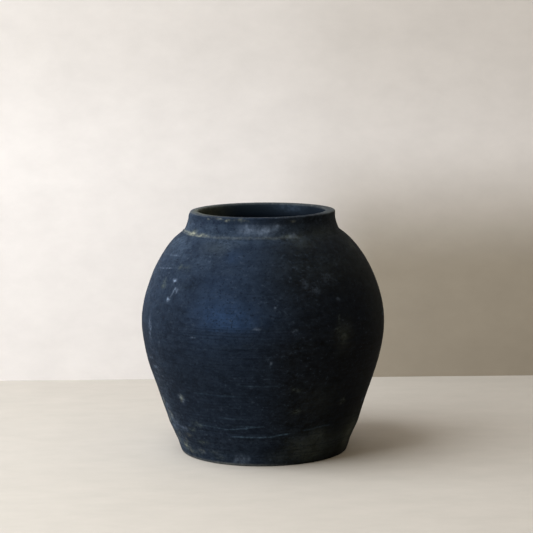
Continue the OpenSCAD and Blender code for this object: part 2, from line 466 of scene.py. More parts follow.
def lay_flat(mesh, rows, solid):
    """A UV map like a label peeled off the jar: round the jar to the right, along the outline upwards."""
    lengths = np.hypot(*np.diff(rows if solid else np.vstack((rows, rows[:1])), axis=0).T)
    up = np.concatenate(([0], np.cumsum(lengths))) / lengths.sum()
    low, high = (up[1:-2], up[2:-1]) if solid else (up[:-1], up[1:])
    left = np.tile(np.arange(SEGMENTS), len(low)) / SEGMENTS
    right = left + 1 / SEGMENTS
    low, high = np.repeat(low, SEGMENTS), np.repeat(high, SEGMENTS)
    flat = np.stack((left, low, right, low, right, high, left, high), axis=-1).ravel()
    if solid:
        left, right = left[:SEGMENTS], right[:SEGMENTS]
        middle, none = (left + right) / 2, np.zeros(SEGMENTS)
        foot = np.stack((middle, none, right, none + up[1], left, none + up[1]), axis=-1)
        head = np.stack((left, none + up[-2], right, none + up[-2], middle, none + 1), axis=-1)
        flat = np.concatenate((flat, foot.ravel(), head.ravel()))
    mesh.uv_layers.new(name="UVMap").data.foreach_set("uv", flat.astype(np.float32))


column_gap = 2 * math.pi * outer_skin.max() / SEGMENTS
print(f"{SEGMENTS} columns, {column_gap:.2f} mm apart at the widest place")

# %% Make a closed mesh from an outline
def into_scene(name, data):
    """A new object with this data, linked to the scene."""
    thing = bpy.data.objects.new(name, data)
    bpy.context.scene.collection.objects.link(thing)
    return thing


def turned(node):
    """A mesh object for the member, and each point's turn, radius and height for painting."""
    rows, sharp = fine_outline(sections[node])
    solid = rows[0, 0] < IDLE
    ring_rows = rows[1:-1] if solid else rows
    turn, radius = np.meshgrid(columns, ring_rows[:, 0])
    height = np.repeat(ring_rows[:, 1:], SEGMENTS, axis=1)
    grid = np.arange(turn.size).reshape(turn.shape)
    below, above = (grid[:-1], grid[1:]) if solid else (grid, np.roll(grid, -1, axis=0))
    quads = np.stack((below, np.roll(below, -1, 1), np.roll(above, -1, 1), above), axis=-1)
    faces = quads.reshape(-1, 4).tolist()
    places = [turn.ravel(), radius.ravel(), height.ravel()]
    if solid:
        foot, head = turn.size, turn.size + 1
        tips = ((0, 0), (0, 0), rows[[0, -1], 1])
        places = [np.append(values, ends) for values, ends in zip(places, tips)]
        faces += [(foot, right, left) for left, right in zip(grid[0], np.roll(grid[0], -1))]
        faces += [(left, right, head) for left, right in zip(grid[-1], np.roll(grid[-1], -1))]
    points = np.column_stack(hand_made(*places)) * MM
    mesh = bpy.data.meshes.new(node + "_clay")
    mesh.from_pydata(points, [], faces)
    mesh.polygons.foreach_set("use_smooth", np.ones(len(mesh.polygons), bool))
    edges = np.zeros(2 * len(mesh.edges), np.int32)
    mesh.edges.foreach_get("vertices", edges)
    row_of = np.append(np.repeat(np.arange(len(ring_rows)), SEGMENTS), (-1, -2))
    sharp_row = np.append(sharp[1:-1] if solid else sharp, (False, False))
    near, far = row_of[edges.reshape(-1, 2)].T
    creased = mesh.attributes.new("sharp_edge", "BOOLEAN", "EDGE")
    creased.data.foreach_set("value", (near == far) & sharp_row[near])
    lay_flat(mesh, rows, solid)
    return into_scene(node + "_skin", mesh), places


print(f"{len(sections)} outlines to turn")

# %% [markdown]
# ## What use leaves on the surface, and painted light and shade
# Smoke-fired clay is dark all over, so whatever rubs on it shows pale: chalk from dry slip, tan earth,
# scratches, a blue bloom where the wiped skin is thin. Some marks also carry painted light and shade: a
# sheen in the bloom, highlights on the foot's ridge, light on the top and the left, bounce light on the
# right, and shade on the right, low down, in grooves and deep in the mouth. Each mark has a place on this
# jar.
# Painting an image would need a picture file. Instead every mark is a soft dab or a thin stroke with
# an angle, a height and a size in millimetres, and the sum is stored on the mesh's points.
# Its strength says how much of the clay is covered. The material then decides which grains are,
# so that a weak mark becomes a cluster of flecks and never looks like an ellipse.

# %% Dabs and strokes
def dab(turn, height, angle, level, wide, tall):
    """A soft round mark, `wide` and `tall` mm from its middle to its edge."""
    across = apart(turn, angle) * np.interp(level, levels, outer_skin) / wide
    return np.exp(-(across**2) - ((height - level) / tall) ** 2)


def stroke(turn, height, start, end, half):
    """A thin line from one angle and height to another, `half` mm to each side, that fades at its ends."""
    girth = np.interp((start[1] + end[1]) / 2, levels, outer_skin)
    across, up = apart(turn, start[0]) * girth, height - start[1]
    run, climb = math.radians(end[0] - start[0]) * girth, end[1] - start[1]
    length = math.hypot(run, climb)
    along, off = (across * run + up * climb) / length, (across * climb - up * run) / length
    window = ease(along, -1, 0.2 * length) * (1 - ease(along, 0.8 * length, length + 1))
    return window * np.exp(-((off / half) ** 2))


beside = dab(np.array(0.0), np.array(104.0), 0, 100, 5, 5)
print(f"a 5 mm dab, 4 mm from its middle: {float(beside):.2f}")

# %% [markdown]
# ### Where the marks are
# Blue-white chalk is smeared on the neck and flecks the left side and the foot. Greenish earth lies on the
# left, a dull haze with painted bounce light low on the right, and cream flecks of slip under the lip and
# in the neck's corner.
# The bloom, partly a painted sheen, is one large patch left of the middle, and a few blue-grey scratches
# with painted highlights run along the ridge of the foot. Every row is listed: an angle and a height, a
# half width and a half height in mm.

# %% Chalk on the viewer's side
CHALK_DABS = (
    # angle, height, half width, half height, strength
    (-8.5, 264.0, 1.8, 1.4, 0.90),
    (-4, 263.0, 1.6, 1.1, 0.50),
    (1, 263.2, 2.2, 1.2, 0.70),
    (5, 264.4, 1.6, 1.6, 0.60),
    (12, 268.0, 2.0, 1.4, 0.40),
    (-34, 275.6, 5, 1.2, 0.30),
    (-51.4, 208.0, 1.7, 2.1, 1.70),
    (-51.4, 187.6, 1.6, 2.1, 1.60),
    (-47.5, 198.5, 3.0, 5.0, 0.28),
    (22, 208.0, 5.0, 5.0, 0.15),
    (26, 202.0, 6.0, 5.0, 0.13),
    (35, 213.0, 10.0, 6.0, 0.10),
    (38, 190.0, 1.8, 1.6, 0.36),
    (3.4, 124.6, 1.3, 1.6, 0.70),
    (5.5, 185.0, 1.2, 1.4, 0.50),
    (-34.5, 150.8, 1.5, 1.1, 0.55),
    (-32.5, 150.6, 1.4, 1.0, 0.50),
    (-3, 162.0, 4.0, 1.8, 0.42),
    (14, 159.6, 3.5, 1.5, 0.36),
    (-65.5, 152.0, 2.4, 11.0, 0.60),
    (-57, 137.0, 2.0, 4.0, 0.38),
    (-70, 116.0, 4.0, 2.0, 0.50),
    (-67, 106.0, 6.0, 1.6, 0.60),
    (-50, 77.4, 2.6, 2.6, 0.50),
    (-48.3, 72.6, 2.0, 3.0, 0.45),
    (-68, 61.0, 5.0, 2.4, 0.60),
    (-67, 47.0, 4.0, 5.0, 0.60),
    (-69.5, 35.0, 5.0, 3.0, 0.60),
    (-55, 38.0, 6.0, 3.0, 0.34),
)
SMEAR_DABS = (
    (-11, 266.0, 8, 4.5, 0.65),
    (-8.5, 264.0, 3, 2.0, 0.50),
    (2.5, 264.0, 8, 4.0, 0.75),
    (11, 268.0, 6, 3.0, 0.50),
    (-4, 261.0, 16, 4.0, 0.30),
    (22, 257.6, 5, 1.8, 0.50),
    (-19, 7.0, 2.4, 5.0, 0.60),
    (-15, 7.0, 3.4, 5.5, 0.70),
    (-11, 7.5, 2.4, 4.5, 0.55),
)
print(f"{len(CHALK_DABS)} dabs and {len(SMEAR_DABS)} smears of chalk")

# %% Earth, haze and painted bounce light
EARTH_DABS = (
    # angle, height, half width, half height, strength
    (-59, 203.5, 4.0, 4.5, 0.50),
    (-50, 223.0, 3.0, 3.0, 0.38),
    (-45, 223.0, 3.0, 2.4, 0.38),
    (-49.5, 75.0, 3.0, 4.0, 0.40),
    (-67, 47.0, 5.0, 5.0, 0.45),
    (-80, 61.0, 7.0, 6.0, 0.60),
    (-79, 76.0, 6.0, 3.0, 0.50),
    (-62, 13.5, 7.0, 5.0, 0.55),
    (-52, 9.0, 7.0, 3.5, 0.28),
    (-41, 47.0, 7.0, 3.0, 0.46),
    (-40, 24.0, 8.0, 2.4, 0.34),
    (-47, 39.0, 6.0, 2.0, 0.36),
    (-33, 14.0, 7.0, 2.4, 0.18),
    (-30, 8.0, 6.0, 3.0, 0.18),
    (-60, 259.0, 6.0, 3.0, 0.50),
    (-47, 257.5, 7.0, 1.8, 0.40),
    (18.5, 258.0, 4.0, 1.5, 0.40),
    (-28, 275.0, 9.0, 1.6, 0.30),
    (-14, 274.4, 6.0, 1.6, 0.30),
    (36, 157.0, 4.0, 4.0, 0.20),
    (40, 146.0, 4.0, 7.0, 0.18),
    (37, 168.0, 2.0, 4.0, 0.22),
    (18, 91.0, 3.0, 2.0, 0.32),
    (14, 93.0, 2.5, 2.0, 0.28),
    (45.5, 71.0, 3.0, 3.0, 0.36),
    (18, 66.0, 5.0, 2.5, 0.30),
)
# Haze and painted bounce light: paler olive low on the right, on the neck and on the shoulder.
HAZE_AND_BOUNCE_DABS = (
    (20, 22.0, 12, 13, 0.44),
    (31, 20.0, 16, 16, 0.48),
    (45, 18.0, 20, 16, 0.30),
    (33, 35.0, 9, 8, 0.30),
    (8, 10.0, 14, 7, 0.30),
    (66, 30.0, 20, 22, 0.35),
    (40, 150.0, 12, 16, 0.30),
    (-30, 246.0, 20, 9, 0.25),
    (50, 258.0, 26, 7, 0.32),
    (16, 232.0, 44, 22, 0.08),
    (48, 225.0, 40, 26, 0.12),
    (24, 257.0, 12, 4, 0.40),
    (28, 250.0, 16, 6, 0.22),
    (28, 75.0, 22, 20, 0.14),
    (28, 9.0, 14, 6, 0.30),
    (66, 24.0, 12, 16, 0.70),
)
print(f"{len(EARTH_DABS)} dabs of earth, {len(HAZE_AND_BOUNCE_DABS)} of haze")

# %% Slip, bloom and sheen, dust and light, painted shade
CREAM_DABS = (
    # angle, height, half width, half height, strength
    (-46, 275.2, 1.8, 0.8, 0.36),
    (-42, 276.2, 1.5, 0.7, 0.30),
    (-37, 276.6, 2.2, 0.8, 0.60),
    (-34, 275.8, 1.5, 0.8, 0.50),
    (-29, 274.8, 2.4, 0.9, 0.52),
    (-25.5, 275.4, 1.5, 0.7, 0.40),
    (-20, 275.4, 1.3, 0.7, 0.30),
    (-15.5, 275.2, 1.9, 0.9, 0.52),
    (-12, 274.8, 2.0, 0.9, 0.44),
    (24, 273.6, 3.0, 1.2, 0.22),
    (-60, 257.5, 4, 2.4, 0.56),
    (-49, 256.8, 5, 1.6, 0.46),
    (-63, 13.0, 3, 4.0, 0.60),
    (-45, 12.0, 5, 2.2, 0.18),
    (-52, 30.0, 5, 1.8, 0.30),
    (-58, 22.0, 3, 2.6, 0.34),
    (-66, 50.0, 4, 3.0, 0.34),
    (-57, 10.0, 3, 3.0, 0.50),
    (-73, 64.0, 3, 4.0, 0.50),
    (-70, 52.0, 3, 3.0, 0.40),
    (-74, 42.0, 3, 4.0, 0.50),
    (-66, 28.0, 3, 3.0, 0.36),
    (-72, 20.0, 4, 5.0, 0.50),
    (-49.5, 75.0, 2, 3.0, 0.45),
)
# Bloom and painted sheen: the blue patch left of the middle stands partly for a soft reflection.
BLOOM_AND_SHEEN_DABS = (
    (-18, 174.0, 34, 16.0, 0.74),
    (-14, 167.0, 28, 8.0, 0.30),
    (-22, 186.0, 36, 22.0, 0.18),
    (-18, 238.0, 8, 7.0, 0.40),
    (-22, 206.0, 36, 16.0, 0.08),
    (-25, 149.0, 32, 8.0, 0.20),
)
# Dust and painted light: paler on the lit left of the neck, the shoulder and the foot.
DUST_AND_LIGHT_DABS = (
    (-20, 250.0, 12, 5.0, 0.30),
    (-34, 236.0, 20, 10.0, 0.15),
    (-66, 246.0, 22, 9.0, 0.45),
    (-58, 225.0, 26, 22.0, 0.12),
    (-75, 262.0, 12, 10.0, 0.35),
    (-78, 215.0, 14, 30.0, 0.30),
    (-41, 48.0, 10, 4.0, 0.15),
    (-70, 30.0, 18, 34.0, 0.60),
)
# Painted shade: darker patches on the belly's left and middle and on the shoulder.
PAINTED_SHADE_DABS = (
    (-44, 165.0, 34, 50.0, 0.30),
    (8, 136.0, 44, 18.0, 0.24),
    (10, 205.0, 36, 22.0, 0.16),
)
print(f"{len(CREAM_DABS)} flecks of slip, {len(BLOOM_AND_SHEEN_DABS)} dabs for the bloom")

# %% Strokes
CHALK_STROKES = (
    # start angle and height, end angle and height, half width, strength
    ((-48.5, 202.0), (-51.0, 190.0), 0.9, 0.50),
    ((-46.5, 201.0), (-47.5, 194.0), 0.8, 0.28),
    ((-76, 216.6), (-56, 220.4), 0.7, 0.48),
    ((-80, 231.6), (-54, 234.2), 0.7, 0.36),
    ((-72, 98.4), (-59, 97.6), 0.8, 0.45),
)
# Scratches with painted highlights along the ridge of the foot.
SCRATCHES_AND_GLINTS = (
    ((-44, 47.0), (-22, 45.2), 0.7, 0.28),
    ((-24, 44.2), (-8, 46.4), 0.7, 0.50),
    ((-12, 46.6), (0, 50.0), 0.7, 0.46),
    ((-16, 48.6), (-4, 49.8), 0.7, 0.30),
    ((-20, 36.0), (-5, 35.8), 0.7, 0.66),
    ((-8, 36.2), (6, 37.4), 0.7, 0.66),
    ((3, 37.4), (16, 40.0), 0.7, 0.42),
    ((22, 41.6), (31, 43.6), 0.7, 0.24),
    ((30, 43.8), (41, 44.8), 0.7, 0.24),
    ((-26, 58.5), (-6, 58.0), 0.8, 0.20),
    ((-40, 86.0), (-8, 85.0), 0.8, 0.18),
    ((-14, 98.0), (10, 98.4), 0.8, 0.15),
)
# Painted shade along the deeper grooves of the belly.
GROOVE_SHADE_STROKES = (
    ((-42, 160.6), (24, 159.8), 0.9, 0.25),
    ((-30, 157.0), (18, 157.6), 0.7, 0.14),
    ((-36, 153.2), (8, 154.0), 0.7, 0.14),
    ((-50, 139.4), (36, 139.2), 1.0, 0.25),
)
print(f"{len(CHALK_STROKES)} strokes of chalk, {len(SCRATCHES_AND_GLINTS)} scratches, {len(GROOVE_SHADE_STROKES)} of soot")

# %% [markdown]
# ### The sides that face away
# A potter wipes and a shelf rubs all round, so the hidden sides carry the same kinds of marks.
# Mirroring the front would be seen at once, so these are drawn by chance, from fixed seeds.

# %% Marks by chance
AWAY_DABS = 46
AWAY_STROKES = 16
AWAY_HAZE = (
    (120, 20.0, 40, 20, 0.40),
    (205, 30.0, 50, 24, 0.40),
)
AWAY_BLOOM = (
    (150, 190.0, 40, 20, 0.50),
    (215, 120.0, 46, 24, 0.40),
)


def away_dabs(seed):
    """Clusters of flecks for the sides that face away, a few of them dense."""
    draw = np.random.default_rng(seed)
    for _ in range(AWAY_DABS):
        place = draw.uniform(70, 285), draw.uniform(6, 250)
        size = draw.uniform(1.5, 9.0)
        yield *place, size, size * draw.uniform(0.3, 0.9), 0.26 + 0.5 * draw.uniform() ** 3


def away_strokes(seed):
    """Level scratches for the same sides."""
    draw = np.random.default_rng(seed)
    for _ in range(AWAY_STROKES):
        angle, level, reach = draw.uniform(70, 270), draw.uniform(20, 235), draw.uniform(6, 26)
        yield (angle, level), (angle + reach, level + draw.uniform(-1.5, 1.5)), 0.8, draw.uniform(0.28, 0.6)


DABS = {
    "chalk": (*CHALK_DABS, *away_dabs(41)),
    "earth": (*EARTH_DABS, *away_dabs(42)),
    "smeared": SMEAR_DABS,
    "hazed_and_bounce_lit": (*HAZE_AND_BOUNCE_DABS, *AWAY_HAZE),
    "luting": CREAM_DABS,
    "bloom_and_sheen": (*BLOOM_AND_SHEEN_DABS, *AWAY_BLOOM),
    "dust_and_light": DUST_AND_LIGHT_DABS,
    "charred_and_shaded": PAINTED_SHADE_DABS,
}
STROKES = {"chalk": CHALK_STROKES, "scratched_and_glinting": (*SCRATCHES_AND_GLINTS, *away_strokes(43)), "lined_and_groove_shade": GROOVE_SHADE_STROKES}
print({kind: len(marks) for kind, marks in DABS.items()})

# %% [markdown]
# ### Broad marks
# Under the single marks lie broad ones: more dust and painted light on the neck, the shoulder, the foot
# and the left, soot and painted shade on the right and low down, painted bounce light along the right
# edge, scuffs in patches low on the left and behind, wiping lines below the belly. Each is a smooth
# function of angle and height that fades between two named heights.

# %% What covers whole regions
FOOT_ENDS = (15, 55)
RIDGE_ENDS = (30, 60)
LOW_SHADE_ENDS = (95, 165)
SCUFFS_END = (40, 175)
SKIN_CLEARS = (120, 190)
LINES_END = (150, 170)
EDGE_BOUNCE_BEGINS = (130, 165)
PATCHES_BEGIN = (185, 215)
WIPED_BEGINS, WIPED_ENDS = (195, 220), (244, 254)
SHOULDER_BEGINS = (200, 240)
NECK_BEGINS = (248, 257)
LIP_BEGINS = (266, 273)
SLIP_LINE = (0.8, 1.3)  # mm above the seam, half height


def broad_marks(turn, height):
    """What covers whole regions of the jar, by kind."""
    foot, ridge, low = (1 - ease(height, *ends) for ends in (FOOT_ENDS, RIDGE_ENDS, LOW_SHADE_ENDS))
    left, right = side(turn, -90, 20, 45), side(turn, 70, 25, 65)
    uneven = ring_noise(turn, height, 26, 11.0, 62) * (ease(height, *PATCHES_BEGIN) + ridge)
    # Dust and painted light: paler towards the neck and the shoulder and on the left, less on the right,
    # the front and the lip.
    dust_and_light = 0.15 + 0.20 * ease(height, *NECK_BEGINS) + 0.10 * ease(height, *SHOULDER_BEGINS)
    dust_and_light += foot * (0.08 + 0.10 * side(turn, -65, 20, 60)) + 0.14 * left + 0.09 * uneven
    front = side(turn, 6, 12, 40) * ease(height, *WIPED_BEGINS) * (1 - ease(height, *WIPED_ENDS))
    lip = side(turn, -25, 40, 65) * ease(height, *LIP_BEGINS)
    dust_and_light *= (1 - 0.6 * right) * (1 - 0.45 * front) * (1 - 0.55 * lip)
    rise, half = SLIP_LINE
    line = np.exp(-(((height - neck_line - rise) / half) ** 2))
    patches = ease(ring_noise(turn, height, 14, 22.0, 63), -0.3, 0.5)
    patches *= ease(ring_noise(turn, height, 40, 9.0, 64), -0.5, 0.4)
    patches *= 0.5 * side(turn, -80, 8, 34) + 0.25 * side(turn, 180, 70, 110)
    return {
        "skin": 0.84 + 0.13 * ease(height, *SKIN_CLEARS),
        "dust_and_light": dust_and_light,
        # Painted shade: darker on the right, away from the light, and towards the bottom, over a little
        # soot all round.
        "charred_and_shaded": 0.10 + 0.85 * side(turn, 75, 50, 85) + 0.34 * low,
        "lined_and_groove_shade": 0.15 + 0.20 * (1 - ease(height, *LINES_END)),
        "pitted": np.full(turn.shape, 0.65),
        "scuffed": patches * (1 - ease(height, *SCUFFS_END)),
        "specked": (0.10 + 0.10 * ring_noise(turn, height, 9, 40.0, 58)) * (1 - 0.5 * right),
        "luting": line * (0.10 * side(turn, -20, 40, 55) + 0.45 * side(turn, -76, 12, 42)),
        # Painted reflection of the backdrop along the right edge.
        "hazed_and_bounce_lit": 0.14 * side(turn, 85, 12, 36) * (ease(height, *EDGE_BOUNCE_BEGINS) + ridge),
    }


print("the kinds of marks:", ", ".join(broad_marks(np.array(0.0), np.array(50.0))))

# %% [markdown]
# ### Storing the marks on the mesh
# Each kind of mark becomes one number per point, which the material reads by its name. A dab would show
# as an ellipse, so its points are first shaken a little: that makes its edge ragged. Clay is also worn
# paler along the lip's edge and under the foot. The inside gets painted light near the lip and painted
# shade deeper in and on the right, painted light on its back wall, and painted bounce light with some earth
# on the left.

# %% Paint a member
RAGGED_TURN = 0.02
RAGGED = (
    # mm up or down, patches to a turn, mm high, seed
    (0.9, 120, 4.0, 53),
    (0.6, 40, 9.0, 54),
)
WAVY = (
    (0.5, 30, 12.0, 55),
    (0.4, 80, 5.0, 56),
)
BLOOM_ENDS = 160
OUTSIDE_ENDS, INSIDE_BEGINS = (0.25, 0.6), (0.4, 0.7)  # depths in the wall
LIP_EDGE = (1.6, 0.4)  # mm below the top
STANDING_EDGE = (1.0, 4.0)
INSIDE_LIGHT_RISES = (262, 275)
INSIDE_LIGHT_PATCH = (152, 273.0, 20, 4.5)


def shaken(turn, height, shakes):
    """Heights moved up and down a little by random amounts."""
    return height + sum(reach * ring_noise(turn, height, *patches) for reach, *patches in shakes)


def paint(piece, places):
    """Stores the marks on the member's points, one attribute for each kind."""
    turn, radius, height = places
    deep = depth_of(radius, height)
    outside = 1 - ease(deep, *OUTSIDE_ENDS)
    shake = ring_noise(turn, height, 150, 5.0, 51) + ring_noise(turn, height, 60, 11.0, 52)
    ragged = turn + RAGGED_TURN * shake, shaken(turn, height, RAGGED)
    wavy_height = shaken(turn, height, WAVY)
    kinds = broad_marks(turn, wavy_height)
    for kind, marks in DABS.items():
        for *place, strength in marks:
            kinds[kind] = kinds.get(kind, 0) + strength * dab(*ragged, *place)
    for kind, marks in STROKES.items():
        for *place, strength in marks:
            kinds[kind] = kinds.get(kind, 0) + strength * stroke(turn, wavy_height, *place)
    below_bloom = ease(BLOOM_ENDS - wavy_height, 0, 3) * side(turn, -20, 40, 60)
    kinds["bloom_and_sheen"] = kinds["bloom_and_sheen"] * (1 - 0.6 * below_bloom)
    kinds = {kind: values * outside for kind, values in kinds.items()}
    # Painted bounce light with some earth on the inner wall at the left, and painted light on the inner
    # back wall.
    inner_left_bounce_light = (1 - outside) * side(turn, -90, 20, 70)
    inner_back_light = (1 - outside) * dab(*ragged, *INSIDE_LIGHT_PATCH)
    kinds["hazed_and_bounce_lit"] = kinds["hazed_and_bounce_lit"] + inner_left_bounce_light
    kinds["earth"] = kinds["earth"] + 0.25 * inner_left_bounce_light
    kinds["dust_and_light"] = kinds["dust_and_light"] + inner_back_light * (0.55 + 0.30 * ring_noise(turn, height, 26, 7.0, 61))
    # Painted light inside the mouth near the lip, fading to painted shade deeper in and on the right.
    kinds["inside"] = ease(deep, *INSIDE_BEGINS) * (0.12 + 0.88 * ease(height, *INSIDE_LIGHT_RISES))
    kinds["inside"] *= 1 - 0.5 * side(turn, 115, 15, 35)
    rim = ease(height, *(jar_height - drop for drop in LIP_EDGE))
    rim *= 0.06 + 0.45 * (1 - side(turn, 0, 40, 80)) + 0.25 * side(turn, -80, 30, 60)
    under = 1 - ease(height, *STANDING_EDGE)
    kinds["rubbed"] = rim + under * side(turn, -50, 30, 80)
    for kind, values in kinds.items():
        values = np.clip(values, 0, 2).astype(np.float32)
        piece.data.attributes.new(kind, "FLOAT", "POINT").data.foreach_set("value", values)


print(f"{sum(map(len, DABS.values()))} dabs and {sum(map(len, STROKES.values()))} strokes to paint")

# %% [markdown]
# ## Colours and nodes
# Colours are easiest to pick as the sRGB hex values that a screen shows, but a shader calculates with
# linear light, so one function turns the first into the second.
# A second one adds a node, sets it up and links it in a single call, which keeps a material readable:
# each line is one node, and a value in `ins` may be a number, a colour or another node's output.
# A third one starts a material, and hands back its shader and the object's own coordinates.

# %% Three helpers for materials
def linear(hex_colour):
    """An sRGB colour such as #20262E as linear red, green, blue and alpha."""
    values = [int(hex_colour[place:place + 2], 16) / 255 for place in (1, 3, 5)]
    return *[v / 12.92 if v <= 0.04045 else ((v + 0.055) / 1.055) ** 2.4 for v in values], 1.0


def add(tree, kind, ins, out=0, **settings):
    """Adds a node with its settings, links or sets its inputs, and returns one of its outputs."""
    node = tree.nodes.new("ShaderNode" + kind)
    for name, value in settings.items():
        setattr(node, name, value)
    for name, value in ins.items():
        if isinstance(value, bpy.types.NodeSocket):
            tree.links.new(value, node.inputs[name])
        else:
            node.inputs[name].default_value = value
    return node.outputs[out]


def new_material(name):
    """A material, its node tree, its shader and the coordinates that its patterns lie in."""
    material = bpy.data.materials.new(name)
    material.use_nodes = True
    tree = material.node_tree
    return material, tree, tree.nodes["Principled BSDF"], add(tree, "TexCoord", {}, "Object")


RANGE = ("From Min", "From Max", "To Min", "To Max")
print("slate blue in linear light:", [round(v, 4) for v in linear("#242D38")[:3]])

# %% [markdown]
# ## Smoke-fired clay
# Reduction turns the iron in the clay black and the wiped skin slightly blue. The surface is matte,
# because the clay is porous and unglazed, but the wiping cloth has laid it down in fine level lines.
# To the eye that is a soft, dark body with no highlight, on which every grain of dust is a pale fleck.
# The finish is built layer on layer, much as the real one came about: soot at the bottom, then the wiped
# skin and its bloom, smoke, dust, scuffs, earth and chalk. Some layers also carry painted light and shade:
# a sheen in the bloom, shade in the smoke and the grooves, light in the dust, bounce light in the haze,
# highlights in the scratches, and light and shade inside the mouth. Each layer covers the ones below by its
# painted mark times its pattern, so one loop over two tables makes them all, and a mark is never without
# grain.
# Patterns are noises with a size in millimetres along the turning direction and upwards. Clay grains are
# finer than 1 mm and cloth lines closer than that, which would vanish in the render, so the grains
# are drawn about 3 mm wide and the lines 2 mm apart.

# %% Patterns and layers
# Among these colours, the bloom's holds a painted sheen, the char's painted shade, the veil's painted
# light, the inside's painted light in the mouth, the haze's painted bounce light and the scratch's painted
# highlights.
SOOT, SLATE, BLOOM_AND_SHEEN, CHAR_AND_SHADE = "#0A1018", "#212E42", "#243A5A", "#090908"
VEIL_AND_LIGHT, CHALK, EARTH, SLIP = "#364251", "#647184", "#586056", "#848678"
WORN, INSIDE_LIGHT = "#5A5D5C", "#1C242C"
HAZE_AND_BOUNCE, SCRATCH_AND_GLINT = "#3C4038", "#4C6275"
PATTERNS = {
    # name: mm along the turning direction, mm upwards, detail, roughness
    "clouds": (42, 15, 6.0, 0.72),
    "mottle": (12, 8, 4.0, 0.65),
    "wiping": (60, 1.9, 2.0, 0.50),
    "scuffs": (11, 3.0, 5.0, 0.74),
    "grains": (2.8, 2.2, 2.0, 0.60),
    "flecks": (4.5, 3.2, 5.0, 0.68),
    "drips": (4.5, 7, 4.0, 0.70),
}
LAYERS = (
    # colour, painted mark, pattern, the pattern's values for thin and thick, the cover at each
    (SLATE, "skin", "clouds", 0.30, 0.70, 0.03, 0.50),
    (SLATE, "skin", "mottle", 0.35, 0.65, 0.00, 0.24),
    (SLATE, "skin", "wiping", 0.35, 0.65, 0.00, 0.20),
    (SLATE, "skin", "grains", 0.38, 0.62, 0.00, 0.34),
    # Bloom and painted sheen
    (BLOOM_AND_SHEEN, "bloom_and_sheen", "mottle", 0.30, 0.70, 0.35, 0.95),
    # Soot and painted shade on the right and low down
    (CHAR_AND_SHADE, "charred_and_shaded", "clouds", 0.30, 0.70, 0.90, 0.97),
    # Painted light and shade inside the mouth
    (INSIDE_LIGHT, "inside", "clouds", 0.30, 0.70, 0.60, 1.00),
    # Haze and painted bounce light
    (HAZE_AND_BOUNCE, "hazed_and_bounce_lit", "mottle", 0.34, 0.66, 0.50, 1.00),
    # Dust and painted light
    (VEIL_AND_LIGHT, "dust_and_light", "mottle", 0.38, 0.62, 0.20, 0.90),
    (VEIL_AND_LIGHT, "dust_and_light", "flecks", 0.44, 0.64, 0.00, 0.80),
    # Soot lines and painted shade in the grooves
    (SOOT, "lined_and_groove_shade", "wiping", 0.52, 0.66, 0.00, 1.00),
    (SOOT, "pitted", "grains", 0.54, 0.70, 0.00, 1.00),
    (CHALK, "scuffed", "scuffs", 0.47, 0.66, 0.00, 1.00),
    (CHALK, "specked", "flecks", 0.60, 0.72, 0.00, 1.00),
    (EARTH, "earth", "flecks", 0.42, 0.62, 0.12, 1.00),
    # Scratches and painted highlights
    (SCRATCH_AND_GLINT, "scratched_and_glinting", "flecks", 0.36, 0.62, 0.15, 1.00),
    (CHALK, "chalk", "flecks", 0.42, 0.62, 0.15, 1.00),
    (CHALK, "smeared", "drips", 0.36, 0.68, 0.20, 0.90),
    (SLIP, "luting", "flecks", 0.38, 0.60, 0.10, 1.00),
    (WORN, "rubbed", "flecks", 0.38, 0.62, 0.30, 1.00),
)
THICK_SLIP = (SLIP, "luting", "grains", 0.40, 0.60, 0.20, 0.80)
print(f"{len(PATTERNS)} patterns, {len(LAYERS)} layers")

# %% [markdown]
# ### From the tables to nodes
# Each pattern is one noise, stretched to its two sizes. Each layer is four nodes: its painted mark, its
# pattern's range, the product of the two and a mix over what lies below. A node group could wrap those
# four, but a loop shows them. Clay bends light as most minerals do, so its IOR is 1.5, but its open pores
# swallow nearly all gloss: the specular level is very low, and dry chalk and earth are rougher still.

# %% Make the clay and the slip
MATTE, DRY = 0.70, 0.92
RELIEF, RELIEF_HEIGHT = 0.5, 0.3
CLAY_IOR, CLAY_GLOSS, GLOSS_TINT = 1.5, 0.03, "#C6CCD4"


